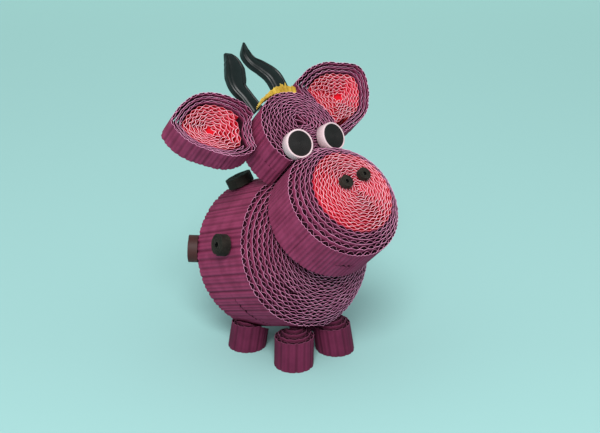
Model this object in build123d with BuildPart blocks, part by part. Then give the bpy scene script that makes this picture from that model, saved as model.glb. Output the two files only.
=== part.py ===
from build123d import *
from math import cos, degrees, pi, radians, sin, sqrt
import os

# A cow rolled from strips of corrugated paper. The face looks along -Y, +Z is up, and the
# feet stand on z = 0. Every coil is one long strip wound on itself and pushed out into a
# dome, so each turn stands a step further out than the turn around it.

# The strip that everything is rolled from
turn = 1.2                   # one wound layer, flutes and liner together
flute_pitch = 3.2            # from one flute to the next along the strip
flute_depth = 0.5            # how deep the valleys lie in the outermost turn
inner_sides = 0.67           # flat sides for each flute on the turns inside it
sink = 0.3                   # how far a glued roll is pressed into what carries it
clearance = 0.05             # between rolls that lie against each other
pin_sides = 6                # of the pin hole in a small roll

# Body: two domed coils glued rim to rim, tipped back
body_radius = 28.8
body_strip = 13.5
body_rise = 15.0
body_power = 3.4
body_pitch = 21.0
body_back = 9.24             # behind the middle of the whole figure
body_aside = -2.15           # the longer ear reaches to the cow's left, so the body stands right of it
belly_clear = 3.775          # the lowest point of the body above the ground

# Head: two coils pressed flat against the muzzle below them
head_radius = 16.35
head_strip = 8.2
head_rise = 2.8
head_power = 2.0
head_winding_up = 2.4        # the winding's middle lies above the rim's middle
neck_inside = 2.46           # the head's lowest point, inwards from the body's rim
neck_ahead = 5.13            # and in front of the body's dome
face_pitch = 44.0            # head, ears, horns and muzzle look up by this angle

# Muzzle: two strips wide, with a pink coil inside the front one
muzzle_radius = 21.4
muzzle_strip = 8.25
muzzle_rise = 8.5
muzzle_power = 4.0
muzzle_purple_count = 5      # turns of purple strip round the pink ones
muzzle_bite = 7.75           # how far it reaches up into the head's outline
muzzle_aside = 0.9           # it sits a little to the cow's left
muzzle_ahead = 2.7           # its rim lies in front of the head's rim

# The muzzle's back is a stepped dish that lies against every third turn of the body's dome
dish_first = 4
dish_stride = 3
dish_sides = 20

# Ears: a purple strip wound three times round a pink coil, both sunk towards the middle. The
# outlines are angles round the coil's middle, in degrees, and how far they reach there
ear_strip = 10.0
ear_width = 13.0             # a turn is as thick as the strip where the ear reaches this far
ear_purple_count = 3         # turns of purple strip
ear_step = 0.55
ear_pink_steps = 4
right_ear_turn = 159.8       # where the coil's middle lies, round the head
right_ear_beside = 14.0      # and outwards from the head's rim
right_ear_back = 5.0         # behind the head's front rim
right_ear_outline = (
    (18, 17.5), (40, 15.6), (56, 14.5), (74, 13.7), (94, 13.0), (120, 12.6), (143, 13.7), (162, 15.9),
    (182, 14.1), (204, 12.2), (230, 10.9), (254, 11.2), (275, 13.1), (295, 15.3), (313, 17.7),
)
left_ear_turn = 25.1
left_ear_beside = 19.2
left_ear_back = 7.0
left_ear_outline = (
    (5, 14.5), (25, 17.7), (36, 18.3), (48, 16.3), (66, 14.3), (86, 14.5), (108, 14.8), (123, 16.0),
    (144, 18.3), (157, 21.4), (177, 17.7), (197, 17.9), (232, 23.0), (242, 18.3), (256, 15.0),
    (276, 12.9), (302, 12.1), (335, 11.9),
)

# Horns: flattened black rolls, each in an S-bend, as middles and half-widths up the horn,
# measured from the top of the head's rim
horn_strip = 3.0
horn_back = 7.5
right_horn_spine = (
    (-6.4, -2.9), (-7.0, 4.1), (-8.2, 8.9), (-7.4, 12.6), (-6.3, 16.6), (-6.6, 20.1), (-7.9, 23.4),
)
right_horn_widths = (2.3, 2.0, 2.3, 2.8, 2.7, 2.0, 0.3)
left_horn_spine = (
    (7.0, -2.9), (7.4, 5.6), (7.0, 11.1), (4.2, 15.2), (1.4, 18.2), (0.5, 21.9), (2.2, 26.8),
)
left_horn_widths = (2.6, 2.8, 2.9, 2.4, 1.9, 1.6, 0.3)
horn_stations = 12

# Hair: a crinkled yellow strip on top of the head, as angles round the head and heights
hair_strip = 3.8
hair_back = 1.0
hair_outline = (
    (64, 2.6), (69, 4.2), (77, 4.8), (82, 4.4), (94, 2.9), (100, 2.0), (110, 1.5), (126, 0.8),
)
hair_crinkle = 0.6
hair_crinkles = 10

# Eyes: white rolls, each with a black disc let into its face
eye_radius = 5.0
eye_wall = 0.6
eye_depth = 3.6
eye_recess = 0.6
eye_proud = 0.15             # the black disc stands this far out of the white roll
eye_apart = 7.05             # each eye's middle from the middle of the face
eye_over = 1.6               # how far an eye reaches over the muzzle's outline
eye_lift = 1.95              # the back of an eye above the head's front rim
eye_tilt_down = 16.0
eye_turn_out = 7.0
eye_sides = 20

# Nostrils: tight black rolls with a pin hole
nostril_radius = 2.4
nostril_height = 1.9
nostril_apart = 4.2
right_nostril_up = 2.8
left_nostril_up = 3.9
nostril_hole = 0.5
nostril_sides = 12

# Feet: short domed rolls that lean outwards and are cut flat where they stand
foot_radius = 7.75
foot_wall = 10.0
foot_rise = 1.1              # each inner turn stands this much higher
foot_lean = 0.16             # sideways shift for each millimetre of height
front_foot_turn = 19.9       # angle round the body from its lowest line
front_foot_along = 10.17     # from the body's seam, along its axis
rear_foot_turn = 29.3
rear_foot_along = -13.6

# Spots: black rolls glued on the body, with the angle round the body from its left side
spot_thickness = 3.3
spot_hole = 0.8
spot_sides = 20
side_spot_radius = 4.0
side_spot_along = 5.7
side_spot_angle = 163.0
top_spot_radius = 5.3
top_spot_along = -6.0
top_spot_angle = 105.0
rear_spot_radius = 5.3
rear_spot_inside = 2.8       # inwards from the body's rim
rear_spot_angle = 162.0


def flutes(radius):
    """How many flutes fit around a turn."""
    return max(5, round(2 * pi * radius / flute_pitch))


def outline(plane, points):
    """A flat face on a plane, with straight sides."""
    with BuildSketch(plane) as face:
        with BuildLine():
            Polyline(*points, close=True)
        make_face()
    return face.sketch


def facing(middle, pitch):
    """A plane that looks towards -Y and up by the pitch, with its x along +X."""
    tip = radians(pitch)
    return Plane(origin=middle, x_dir=(1, 0, 0), z_dir=(0, -cos(tip), sin(tip)))


def moved(plane, right=0.0, up=0.0, out=0.0):
    """The same plane, moved along its own directions."""
    return Plane(
        origin=plane.from_local_coords((right, up, out)),
        x_dir=plane.x_dir,
        z_dir=plane.z_dir,
    )


def looking(plane, right, up, out, normal, across):
    """A plane at a point of another plane, with its directions given in that plane."""
    def direction(parts):
        return plane.x_dir * parts[0] + plane.y_dir * parts[1] + plane.z_dir * parts[2]
    return Plane(
        origin=plane.from_local_coords((right, up, out)),
        x_dir=direction(across),
        z_dir=direction(normal),
    )


def reverse(plane):
    """The same plane seen from behind, with up kept."""
    return Plane(origin=plane.origin, x_dir=-plane.x_dir, z_dir=-plane.z_dir)


muzzle_drop = head_radius + muzzle_radius - muzzle_bite


def round_reach(radius):
    """The reach of a round coil, the same in every direction."""
    return lambda angle: radius


def raised_reach(radius, lift):
    """The reach of a round coil whose winding starts above its middle."""
    def reach(angle):
        beside = lift * sin(angle)
        return -beside + sqrt(beside ** 2 - lift ** 2 + radius ** 2)
    return reach


def spread(rows):
    """A reach that runs evenly from each given angle to the next, all the way round."""
    first, last = rows[0], rows[-1]
    ring = [(last[0] - 360, last[1]), *rows, (first[0] + 360, first[1])]

    def reach(angle):
        turned = degrees(angle) % 360
        for low, high in zip(ring, ring[1:]):
            if low[0] <= turned <= high[0]:
                return low[1] + (high[1] - low[1]) * (turned - low[0]) / (high[0] - low[0])
    return reach


def pressed(reach, right, up, radius):
    """A reach that stops at a round neighbour, whose middle is given from the winding's."""
    def stopped(angle):
        near = right * cos(angle) + up * sin(angle)
        spare = near ** 2 - right ** 2 - up ** 2 + radius ** 2
        length = reach(angle)
        if near > 0 and spare > 0:
            length = min(length, near - sqrt(spare))
        return length
    return stopped


def head_reach(side):
    """The reach of the head's coils: hollowed by the muzzle, which side tells the place of."""
    free = raised_reach(head_radius, head_winding_up)
    drop = muzzle_drop + head_winding_up
    return pressed(free, side * muzzle_aside, -drop, muzzle_radius + clearance)


def mean_reach(reach):
    """The reach of a coil, averaged over every fifteen degrees."""
    steps = 24
    return sum(reach(2 * pi * step / steps) for step in range(steps)) / steps


def turn_points(reach, scale, depth=0.0):
    """Points along one turn; a depth makes real flutes, otherwise the sides are plain."""
    count = flutes(mean_reach(reach) * scale)
    steps = 2 * count if depth else max(6, round(count * inner_sides))
    points = []
    for step in range(steps):
        angle = pi / 2 + 2 * pi * step / steps
        length = reach(angle) * scale
        if step % 2:
            length = length - depth
        points.append((length * cos(angle), length * sin(angle)))
    return points


def wind(plane, reach, strip, rise, power, turns=None):
    """The turns of a domed coil, each a slice that stands on the turn around it."""
    edge = reach(pi / 2)
    turns = turns or int(edge / turn)
    slices = []
    base = 0.0
    for index in range(turns):
        scale = 1 - index * turn / edge
        points = turn_points(reach, scale, 0.0 if index else flute_depth)
        top = strip + rise * (1 - scale ** power)
        slice_plane = moved(plane, out=base)
        slices.append(extrude(outline(slice_plane, points), amount=top - base, mode=Mode.PRIVATE))
        base = top
    return slices


def polygon(radius, sides):
    """Points of a regular polygon, with a corner straight up."""
    angles = [pi / 2 + 2 * pi * side / sides for side in range(sides)]
    return [(radius * cos(angle), radius * sin(angle)) for angle in angles]


def write(part, name):
    """One labelled piece in its own file."""
    part.label = name
    export_step(part, f"parts/{name}.step")


os.makedirs("parts", exist_ok=True)

# Planes that the pieces are placed by
tip_back = radians(body_pitch)
body_height = belly_clear + body_radius * cos(tip_back) + body_strip * sin(tip_back)
body_seam = facing((body_aside, body_back, body_height), body_pitch)
neck = moved(body_seam, up=body_radius - neck_inside, out=body_strip + body_rise + neck_ahead)
head_rim = moved(facing(neck.origin, face_pitch), up=head_radius)
muzzle_rim = moved(head_rim, muzzle_aside, -muzzle_drop, muzzle_ahead)

with BuildPart() as body_front_coil:
    add(wind(body_seam, round_reach(body_radius), body_strip, body_rise, body_power))

with BuildPart() as body_rear_coil:
    add(wind(reverse(body_seam), round_reach(body_radius), body_strip, body_rise, body_power))

# Head: the winding lies above the middle, and the rear coil is pressed onto the body
head_seam = moved(head_rim, up=head_winding_up, out=-head_strip)
with BuildPart() as head_front_coil:
    add(wind(head_seam, head_reach(1), head_strip, head_rise, head_power))

with BuildPart() as head_rear_coil:
    add(wind(reverse(head_seam), head_reach(-1), head_strip, head_rise, head_power))
    add(body_front_coil.part, mode=Mode.SUBTRACT)


# Eyes are set on the slope of the head's coil, and the muzzle is pressed back under them
def eye_plane(side):
    """The plane of an eye's back; side is 1 on the cow's left."""
    down = radians(eye_tilt_down)
    aside = radians(eye_turn_out)
    normal = (side * sin(aside) * cos(down), -sin(down), cos(aside) * cos(down))
    across = (1, 0, -side * sin(aside))
    up = sqrt((muzzle_radius - eye_over + eye_radius) ** 2 - eye_apart ** 2) - muzzle_drop
    return looking(head_rim, side * eye_apart, up, eye_lift, normal, across)


def eye_room(side):
    """The space that an eye takes, with a clearance around it and nothing in front of it."""
    room = polygon(eye_radius + clearance, eye_sides)
    back = moved(eye_plane(side), out=-clearance)
    return extrude(outline(back, room), amount=eye_depth + clearance + turn, mode=Mode.PRIVATE)


# Muzzle: a ring of purple turns, the pink coil inside it and a plain coil behind
pink_scale = 1 - muzzle_purple_count * turn / muzzle_radius
pink_radius = muzzle_radius * pink_scale
pink_rise = muzzle_rise * pink_scale ** muzzle_power
pink_strip = muzzle_strip + muzzle_rise - pink_rise
muzzle_seam = moved(muzzle_rim, out=-muzzle_strip)
bore_sides = flutes(pink_radius)
bore_radius = (pink_radius + clearance) / cos(pi / bore_sides)
muzzle_reach = round_reach(muzzle_radius)
with BuildPart() as muzzle_front_coil:
    add(wind(muzzle_seam, muzzle_reach, muzzle_strip, muzzle_rise, muzzle_power, muzzle_purple_count))
    bore = outline(muzzle_seam, polygon(bore_radius, bore_sides))
    extrude(bore, amount=pink_strip, mode=Mode.SUBTRACT)
    for side in (-1, 1):
        add(eye_room(side), mode=Mode.SUBTRACT)

with BuildPart() as muzzle_face_coil:
    add(wind(muzzle_seam, round_reach(pink_radius), pink_strip, pink_rise, muzzle_power))

with BuildPart() as muzzle_rear_coil:
    extrude(outline(muzzle_seam, turn_points(muzzle_reach, 1.0, flute_depth)), amount=-muzzle_strip)
    for index in range(dish_first, int(body_radius / turn) - dish_stride, dish_stride):
        radius = (body_radius - index * turn) / cos(pi / dish_sides)
        inner_scale = 1 - (index + dish_stride - 1) * turn / body_radius
        height = body_strip + body_rise * (1 - inner_scale ** body_power)
        extrude(outline(body_seam, polygon(radius, dish_sides)), amount=height, mode=Mode.SUBTRACT)


def ear_place(turned, beside):
    """The middle of an ear's coil, from the middle of the head's rim."""
    distance = head_radius + beside
    return distance * cos(radians(turned)), distance * sin(radians(turned))


def ear_reach(place, rows):
    """The reach of an ear's coil: its own outline, pressed against the head."""
    return pressed(spread(rows), -place[0], -place[1], head_radius + clearance)


def ear_outer(plane, reach):
    """Three purple turns around an opening, each a step lower than the one outside it."""
    top = moved(plane, out=ear_strip)
    with BuildPart() as ear:
        extrude(outline(plane, turn_points(reach, 1.0, flute_depth)), amount=ear_strip)
        for index in range(1, ear_purple_count):
            inner = turn_points(reach, 1 - index * turn / ear_width)
            extrude(outline(top, inner), amount=-index * ear_step, mode=Mode.SUBTRACT)
        opening = turn_points(reach, 1 - ear_purple_count * turn / ear_width)
        extrude(outline(plane, opening), amount=ear_strip, mode=Mode.SUBTRACT)
    return ear.part


def ear_inner(plane, reach):
    """The pink coil, which sinks towards its middle."""
    scale = 1 - ear_purple_count * turn / ear_width
    height = ear_strip - ear_purple_count * ear_step
    top = moved(plane, out=height)
    with BuildPart() as ear:
        extrude(outline(plane, turn_points(reach, scale)), amount=height)
        for index in range(1, ear_pink_steps):
            inner = turn_points(reach, scale * (1 - index / ear_pink_steps))
            extrude(outline(top, inner), amount=-index * ear_step, mode=Mode.SUBTRACT)
    return ear.part


# Horns: black leaves on top of the head
def horn_points(spine, widths):
    """The outline of a horn, from half-widths along a smooth spine."""
    with BuildLine() as guide:
        Spline(*spine)
    bend = guide.edges()[0]
    left_side = []
    right_side = []
    for station in range(horn_stations + 1):
        along = station / horn_stations
        place = along * (len(widths) - 1)
        lower = min(int(place), len(widths) - 2)
        width = widths[lower] + (widths[lower + 1] - widths[lower]) * (place - lower)
        point = bend @ along
        ahead = bend % along
        left_side.append((point.X - ahead.Y * width, point.Y + ahead.X * width))
        right_side.append((point.X + ahead.Y * width, point.Y - ahead.X * width))
    return left_side + right_side[::-1]


horn_plane = moved(head_rim, up=head_radius, out=-horn_back - horn_strip)
with BuildPart() as horn_right:
    extrude(outline(horn_plane, horn_points(right_horn_spine, right_horn_widths)), amount=horn_strip)
    add(head_front_coil.part, mode=Mode.SUBTRACT)
    add(head_rear_coil.part, mode=Mode.SUBTRACT)

with BuildPart() as horn_left:
    extrude(outline(horn_plane, horn_points(left_horn_spine, left_horn_widths)), amount=horn_strip)
    add(head_front_coil.part, mode=Mode.SUBTRACT)
    add(head_rear_coil.part, mode=Mode.SUBTRACT)


# Hair: a crest that zigzags
def hair_points():
    """The hair's outline: along the head's rim and back over the crinkled crest."""
    crest_height = spread(hair_outline)
    start, end = hair_outline[0][0], hair_outline[-1][0]
    steps = 2 * hair_crinkles
    stride = radians(end - start) / steps
    inner_radius = (head_radius + clearance) / cos(stride / 2)
    inner = []
    crest = []
    for step in range(steps + 1):
        angle = radians(start) + stride * step
        outer_radius = head_radius + crest_height(angle) + (hair_crinkle if step % 2 else 0.0)
        inner.append((inner_radius * cos(angle), inner_radius * sin(angle)))
        crest.append((outer_radius * cos(angle), outer_radius * sin(angle)))
    return crest + inner[::-1]


with BuildPart() as hair_tuft:
    extrude(outline(moved(head_rim, out=-hair_back), hair_points()), amount=-hair_strip)


def eye_roll(side):
    """A white roll with a shallow seat for the black disc."""
    plane = eye_plane(side)
    top = moved(plane, out=eye_depth)
    with BuildPart() as eye:
        extrude(outline(plane, polygon(eye_radius, eye_sides)), amount=eye_depth)
        seat = polygon(eye_radius - eye_wall, eye_sides)
        extrude(outline(top, seat), amount=-eye_recess, mode=Mode.SUBTRACT)
    return eye.part


def eye_pupil(side):
    """The black disc in an eye."""
    seat = moved(eye_plane(side), out=eye_depth - eye_recess)
    with BuildPart() as pupil:
        points = polygon(eye_radius - eye_wall - clearance, eye_sides)
        extrude(outline(seat, points), amount=eye_recess + eye_proud)
    return pupil.part


def nostril(side, up):
    """A tight black roll with a pin hole, on the pink coil."""
    plane = moved(muzzle_rim, side * nostril_apart, up, muzzle_rise)
    top = moved(plane, out=nostril_height)
    with BuildPart() as roll:
        extrude(outline(plane, polygon(nostril_radius, nostril_sides)), amount=nostril_height)
        hole = outline(top, polygon(nostril_hole, pin_sides))
        extrude(hole, amount=-nostril_height / 2, mode=Mode.SUBTRACT)
    return roll.part


def foot(side, turned, along):
    """A leaning roll, cut flat below and trimmed to the body above."""
    across = body_radius * sin(radians(turned))
    below = body_radius * cos(radians(turned))
    under = body_seam.from_local_coords((side * across, -below, along))
    middle = Plane(origin=(under.X, under.Y, 0))
    toward = -1 if along > 0 else 1
    lean = foot_lean / sqrt(2)
    direction = Vector(-side * lean, -toward * lean, 1)
    turns = int(foot_radius / turn)
    slices = []
    base = 0.0
    for index in range(turns):
        radius = foot_radius - index * turn
        depth = 0.0 if index else flute_depth
        points = turn_points(round_reach(radius), 1.0, depth)
        top = foot_wall + index * foot_rise
        shift = direction * base
        level = Plane(origin=middle.origin + shift)
        length = (top - base) * direction.length
        face = outline(level, points)
        slices.append(extrude(face, amount=length, dir=direction.normalized(), mode=Mode.PRIVATE))
        base = top
    with BuildPart() as roll:
        add(slices)
        add(body_front_coil.part, mode=Mode.SUBTRACT)
        add(body_rear_coil.part, mode=Mode.SUBTRACT)
    return roll.part


def spot(plane, radius, carrier):
    """A black roll pressed onto one of the body's coils."""
    low = moved(plane, out=-sink)
    top = moved(plane, out=spot_thickness)
    with BuildPart() as roll:
        extrude(outline(low, polygon(radius, spot_sides)), amount=sink + spot_thickness)
        hole = outline(top, polygon(spot_hole, pin_sides))
        extrude(hole, amount=-spot_thickness / 2, mode=Mode.SUBTRACT)
        add(carrier, mode=Mode.SUBTRACT)
    return roll.part


def wall_plane(along, angle):
    """A plane on the body's side wall, looking outwards."""
    turned = radians(angle)
    outward = (cos(turned), sin(turned), 0)
    right = body_radius * outward[0]
    up = body_radius * outward[1]
    return looking(body_seam, right, up, along, outward, (0, 0, 1))


def rear_dome_plane(reach, angle):
    """A plane on the rear dome, looking outwards."""
    turned = radians(angle)
    share = reach / body_radius
    rise = body_rise * (1 - share ** body_power)
    slope = body_rise * body_power / body_radius * share ** (body_power - 1)
    outward = (slope * cos(turned), slope * sin(turned), -1)
    across = (-sin(turned), cos(turned), 0)
    right = reach * cos(turned)
    up = reach * sin(turned)
    return looking(body_seam, right, up, -body_strip - rise, outward, across)


side_spot_plane = wall_plane(side_spot_along, side_spot_angle)
top_spot_plane = wall_plane(top_spot_along, top_spot_angle)
rear_spot_plane = rear_dome_plane(body_radius - rear_spot_inside, rear_spot_angle)

pieces = {
    "body_front_coil": body_front_coil.part,
    "body_rear_coil": body_rear_coil.part,
    "head_front_coil": head_front_coil.part,
    "head_rear_coil": head_rear_coil.part,
    "muzzle_front_coil": muzzle_front_coil.part,
    "muzzle_face_coil": muzzle_face_coil.part,
    "muzzle_rear_coil": muzzle_rear_coil.part,
    "horn_right": horn_right.part,
    "horn_left": horn_left.part,
    "hair_tuft": hair_tuft.part,
    "spot_side": spot(side_spot_plane, side_spot_radius, body_front_coil.part),
    "spot_top": spot(top_spot_plane, top_spot_radius, body_rear_coil.part),
    "spot_rear": spot(rear_spot_plane, rear_spot_radius, body_rear_coil.part),
}
ears = {
    "right": (ear_place(right_ear_turn, right_ear_beside), right_ear_back, right_ear_outline),
    "left": (ear_place(left_ear_turn, left_ear_beside), left_ear_back, left_ear_outline),
}
nostril_ups = {"right": right_nostril_up, "left": left_nostril_up}
for name, side in (("right", -1), ("left", 1)):
    place, back, rows = ears[name]
    ear = moved(head_rim, place[0], place[1], -back - ear_strip)
    reach = ear_reach(place, rows)
    pieces[f"ear_{name}_outer"] = ear_outer(ear, reach)
    pieces[f"ear_{name}_inner"] = ear_inner(ear, reach)
    pieces[f"eye_{name}"] = eye_roll(side)
    pieces[f"pupil_{name}"] = eye_pupil(side)
    pieces[f"nostril_{name}"] = nostril(side, nostril_ups[name])
    pieces[f"foot_front_{name}"] = foot(side, front_foot_turn, front_foot_along)
    pieces[f"foot_rear_{name}"] = foot(side, rear_foot_turn, rear_foot_along)

for name, part in pieces.items():
    write(part, name)
    print(name, "solids", len(part.solids()), "volume", round(part.volume, 1))

whole = Compound(children=list(pieces.values())).bounding_box()
print("whole", whole.min, whole.max)
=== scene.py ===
import math

import bpy
import numpy as np
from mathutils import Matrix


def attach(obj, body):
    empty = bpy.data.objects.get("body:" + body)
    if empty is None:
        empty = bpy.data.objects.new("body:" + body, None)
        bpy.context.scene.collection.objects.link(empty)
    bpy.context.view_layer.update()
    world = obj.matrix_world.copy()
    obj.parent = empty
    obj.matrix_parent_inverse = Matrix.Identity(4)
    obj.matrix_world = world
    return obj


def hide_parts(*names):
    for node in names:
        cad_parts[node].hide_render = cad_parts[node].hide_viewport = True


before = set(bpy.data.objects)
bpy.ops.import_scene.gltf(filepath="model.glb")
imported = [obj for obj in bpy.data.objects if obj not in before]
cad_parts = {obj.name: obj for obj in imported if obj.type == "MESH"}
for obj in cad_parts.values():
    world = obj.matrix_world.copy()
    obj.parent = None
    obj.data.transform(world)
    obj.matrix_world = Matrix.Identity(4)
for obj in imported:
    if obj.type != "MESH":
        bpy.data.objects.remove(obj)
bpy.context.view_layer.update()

MM = 0.001
TURN = 2 * math.pi

# The strip, in millimetres; its layer and the flutes' pitch are the solid model's
turn = 1.2                 # one wound layer: liner and flutes together
flute_pitch = 3.2
liner_thick = 0.12
flute_thick = 0.14
flute_steps = 10           # points along one flute
liner_step = 1.6           # between points along a liner
winding_steps = 400        # points along one turn, where its length is measured
strip_length = 520.0       # a coil is wound from strips of about this length
strip_spread = (0.8, 1.2)  # how their lengths differ
longest_strip = 1.3        # what is left of a coil is one strip up to this share of the length
strip_shift = 0.15         # how far a strip sits in or out from the one before
pitch_spread = (0.97, 1.03)
least_flute = 0.1          # the lowest flutes, where there is hardly room
end_gap = 0.8              # between one strip's end and the next one's start
spring_length = 9.0        # an end that springs in bends over this length
inner_dent = 0.4           # how far the flutes press the inner turns' liners in, for one layer
flute_pull = 0.5           # a flute follows the next turn up or down by this share of the step
pressed_layer = 0.75       # layers pressed against a neighbour take this share of their room
core_sides = 24            # sides of the discs that close a coil's middle
core_turns = 0.7           # turns that are left out in the middle of a coil
seam_gap = 0.02            # between a strip's back and the seam, or the ground
slip_power = 14            # how closely a slipped edge keeps to the outer turns

# The shape of a flute's wave, as powers
flute_power = 2.6
inner_dent_power = 1.5
glued_power = 4            # the dent where a flute is glued
between_power = 9          # the fainter one between two flutes
pull_power = 0.7

# The drifts along a strip: the size of each and the length of its longest wave
wave_shares = (1.0, 0.57, 0.31)
wave_spread = (0.8, 1.25)
squeeze_drift = (0.1, 37.0)       # the flutes' height, as a share
phase_drift = (0.5, 23.0)         # the flutes' places, as an angle
lift_drift = (0.14, 61.0)         # the strip's edges
glued_drift = (0.3, 7.0)          # the dents where the flutes are glued, as a share
between_drift = (0.6, 9.0)        # and those between them
roll_drift = (0.07, 9.0)          # a tight roll's edge

# Painted shade in the cells, on the steps and in the dents, as a depth below the strip's edge
shaded = 1.3               # a cell is in full shade this deep
cell_shade = 1.2           # where the shade starts at a cell's very edge
step_shade = 1.0           # and on the step up from one turn to the next
dent_shade = 1.4           # and in a dent, for each millimetre
fully_lit = -5.0           # a side that stands free this far up has no shade
step_darkest = 1.0         # the deepest shade that a step starts with
flute_darkest = 0.5        # and a flute's inner side

# Places of the pieces, as in the solid model where no comment says otherwise
body_radius, body_strip, body_rise, body_power = 28.8, 13.5, 15.0, 3.4
body_pitch, body_back, body_aside, body_height = 21.0, 9.24, -2.15, 35.5
head_radius, head_strip, head_rise, head_power = 16.35, 8.2, 2.8, 2.0
head_winding_up, head_forward, head_above, face_pitch = 2.4, 10.6, 48.4, 44.0
head_opening = 2.5         # the coil ends at this radius, and the strip's end crosses the opening
muzzle_radius, muzzle_strip, muzzle_rise, muzzle_power = 21.4, 8.25, 8.5, 4.0
muzzle_purple_turns, muzzle_drop, muzzle_aside, muzzle_ahead = 5, 30.0, 0.9, 2.7
ear_strip, ear_width, ear_purple_turns, ear_step, ear_pink_steps = 10.0, 13.0, 3, 0.55, 4
# The ears' outlines are let out by up to 0.8 from the solid model's, on their upper sides
right_ear_outline = (
    (18, 17.5), (40, 15.6), (56, 14.7), (74, 14.1), (94, 13.6), (120, 13.4), (143, 14.5), (162, 16.5),
    (182, 14.5), (204, 12.4), (230, 10.9), (254, 11.2), (275, 13.1), (295, 15.3), (313, 17.7),
)
left_ear_outline = (
    (5, 14.5), (25, 18.0), (36, 18.8), (48, 16.9), (66, 14.9), (86, 15.1), (108, 15.4), (123, 16.4),
    (144, 18.3), (157, 21.4), (177, 17.7), (197, 17.9), (232, 23.0), (242, 18.3), (256, 15.0),
    (276, 12.9), (302, 12.1), (335, 11.9),
)
# For each ear: the angle round the head, outwards from its rim, behind its rim, the outline and
# the angle where the strip's outer end lies
ears = {
    "right": (159.8, 14.0, 5.0, right_ear_outline, 318.0),
    "left": (25.1, 19.2, 7.0, left_ear_outline, 205.0),
}
horn_strip, horn_back = 3.0, 7.5
# For each horn: how much wider it is than the solid model's, its spine and its half-widths. The
# right one's spine also leans out by up to 1.2 from the solid model's.
horns = {
    "horn_right": (
        1.4,
        ((-6.7, -2.9), (-8.1, 4.1), (-9.4, 8.9), (-8.6, 12.6), (-7.1, 16.6), (-6.9, 20.1), (-7.9, 23.4)),
        (2.3, 2.0, 2.3, 2.8, 2.7, 2.0, 0.3),
    ),
    "horn_left": (
        1.2,
        ((7.0, -2.9), (7.4, 5.6), (7.0, 11.1), (4.2, 15.2), (1.4, 18.2), (0.5, 21.9), (2.2, 26.8)),
        (2.6, 2.8, 2.9, 2.4, 1.9, 1.6, 0.3),
    ),
}
hair_strip, hair_back = 3.8, 1.0
# Angles round the head and heights above its rim
hair_outline = (
    (64, 2.6), (69, 4.2), (77, 4.8), (82, 4.4), (94, 2.9), (100, 2.0), (110, 1.5), (126, 0.8),
)
eye_radius, eye_wall, eye_depth, eye_recess, eye_proud = 5.0, 0.6, 3.6, 0.6, 0.15
eye_apart, eye_down, eye_lift = 7.05, 6.223, 1.95
eye_tilt_down, eye_turn_out = 16.0, 7.0
nostril_radius, nostril_height, nostril_apart, nostril_hole = 2.4, 1.9, 4.2, 0.5
nostril_ups = {"right": 2.8, "left": 3.9}
foot_radius, foot_wall, foot_rise, foot_lean = 7.75, 10.0, 1.1, 0.16
feet = {
    "foot_front_right": (-9.8, -19.2),
    "foot_front_left": (9.8, -19.2),
    "foot_rear_right": (-14.1, 3.7),
    "foot_rear_left": (14.1, 3.7),
}
spot_thickness, spot_hole, spot_sink = 3.3, 0.8, 0.3
side_spot_radius, side_spot_along, side_spot_angle = 4.0, 5.7, 163.0
top_spot_radius, top_spot_along, top_spot_angle = 5.3, -6.0, 105.0
rear_spot_radius, rear_spot_inside, rear_spot_angle = 5.3, 2.8, 162.0
clearance = 0.05

# Camera: the photograph was taken from the cow's right, a little above, from quite near
photo_width = 600
scale_mm = 0.37            # millimetres to a pixel at the body's middle
focal_px = 1000.0
azimuth, elevation = -38.5, 20.0
aim_right, aim_up = 16.84, 34.5    # pixels from the body's middle to the picture's


def srgb(red, green, blue):
    """A colour as it shows on a screen, 0 to 255, in the renderer's linear values."""
    def linear(value):
        share = value / 255
        return share / 12.92 if share <= 0.04045 else ((share + 0.055) / 1.055) ** 2.4
    return (linear(red), linear(green), linear(blue), 1.0)


class Plane:
    """A flat frame in the object's own space: x to the right, y up, z towards the viewer."""

    def __init__(self, origin, x, z):
        self.origin = np.array(origin, float)
        self.z = np.array(z, float) / np.linalg.norm(z)
        x = np.array(x, float) - np.dot(x, self.z) * self.z
        self.x = x / np.linalg.norm(x)
        self.y = np.cross(self.z, self.x)
        self.flipped = False

    def point(self, right, up, out):
        right, up, out = np.broadcast_arrays(right, up, out)
        return (
            self.origin
            + right[..., None] * self.x
            + up[..., None] * self.y
            + out[..., None] * self.z
        )

    def local(self, points):
        offset = points - self.origin
        return offset @ self.x, offset @ self.y, offset @ self.z

    def moved(self, right=0.0, up=0.0, out=0.0):
        return Plane(self.point(right, up, out), self.x, self.z)

    def mirrored(self):
        """The same plane with its back to the viewer, right and up kept."""
        plane = Plane(self.origin, self.x, self.z)
        plane.z = -plane.z
        plane.flipped = True
        return plane

    def looking(self, right, up, out, normal, across):
        axes = np.array([self.x, self.y, self.z])
        return Plane(self.point(right, up, out), np.array(across) @ axes, np.array(normal) @ axes)


def facing(middle, pitch):
    tip = math.radians(pitch)
    return Plane(middle, (1, 0, 0), (0, -math.cos(tip), math.sin(tip)))


body_seam = facing((body_aside, body_back, body_height), body_pitch)
head_rim = facing((body_aside, body_back - head_forward, body_height + head_above), face_pitch)
head_seam = head_rim.moved(up=head_winding_up, out=-head_strip)
muzzle_rim = head_rim.moved(muzzle_aside, -muzzle_drop, muzzle_ahead)
muzzle_seam = muzzle_rim.moved(out=-muzzle_strip)


def round_reach(radius):
    return lambda angle: np.full_like(angle, radius)


def raised_reach(radius, lift):
    """The reach of a round coil whose winding starts above its middle."""
    def reach(angle):
        beside = lift * np.sin(angle)
        return -beside + np.sqrt(beside ** 2 - lift ** 2 + radius ** 2)
    return reach


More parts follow.
